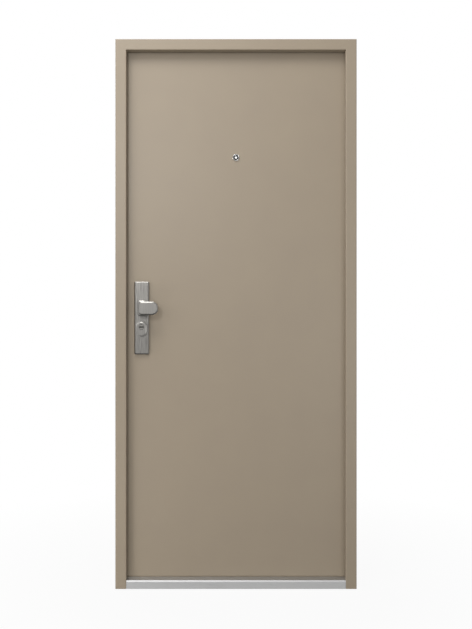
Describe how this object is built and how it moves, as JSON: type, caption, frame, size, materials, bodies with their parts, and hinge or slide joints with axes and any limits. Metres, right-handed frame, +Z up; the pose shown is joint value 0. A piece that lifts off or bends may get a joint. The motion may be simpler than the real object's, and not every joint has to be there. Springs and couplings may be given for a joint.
{
  "type": "security door",
  "caption": "Steel security door: a flush hollow leaf that swings in a folded steel frame, with a fixed pull knob, lock plate and viewer outside, lever and pin hinges inside.",
  "frame": {"origin": "middle of the sill's underside, on the floor", "axes": "+Z up, -Y towards the landing that the picture is taken from, +X towards the hinges"},
  "size_m": [0.928, 0.1995, 2.114],
  "materials": {
    "frame_paint": "taupe powder coat, satin",
    "leaf_paint": "taupe powder coat, satin",
    "stainless_steel": "brushed along its length",
    "hinge_steel": "turned and satin",
    "seal_rubber": "matt black",
    "viewer_chrome": "polished",
    "lens_glass": "clear",
    "cylinder_nickel": "nickel plate, satin"
  },
  "bodies": {
    "frame": {"hinge_jamb": "frame_paint", "lock_jamb": "frame_paint", "frame_head": "frame_paint", "sill": "stainless_steel", "hinge_side_seal": "seal_rubber", "lock_side_seal": "seal_rubber", "head_seal": "seal_rubber", "sill_seal": "seal_rubber", "lower_strike_plate": "stainless_steel", "main_strike_plate": "stainless_steel", "upper_strike_plate": "stainless_steel", "lower_hinge_frame_half": "hinge_steel", "middle_hinge_frame_half": "hinge_steel", "upper_hinge_frame_half": "hinge_steel"},
    "leaf": {"leaf_tray": "leaf_paint", "leaf_inner_sheet": "leaf_paint", "lock_faceplate": "stainless_steel", "latch": "stainless_steel", "deadbolt": "stainless_steel", "lower_round_bolts": "stainless_steel", "upper_round_bolts": "stainless_steel", "dog_bolts": "stainless_steel", "outside_plate": "stainless_steel", "pull_knob": "stainless_steel", "cylinder_guard": "stainless_steel", "lock_cylinder": "cylinder_nickel", "inside_plate": "stainless_steel", "inside_lever": "stainless_steel", "viewer_outer": "viewer_chrome", "viewer_lens": "lens_glass", "viewer_inner": "viewer_chrome", "lower_hinge_leaf_half": "hinge_steel", "middle_hinge_leaf_half": "hinge_steel", "upper_hinge_leaf_half": "hinge_steel"},
    "plug": {"key_plug": "cylinder_nickel"}
  },
  "joints": [
    {"name": "leaf_swing", "type": "hinge", "parent": "frame", "child": "leaf", "pos_m": [0.437, 0.064, 1.05], "axis": [0, 0, -1], "range_deg": [0, 105]},
    {"name": "key_plug_turn", "type": "hinge", "parent": "leaf", "child": "plug", "pos_m": [-0.366, -0.034, 1.0065], "axis": [0, -1, 0], "continuous": true}
  ]
}
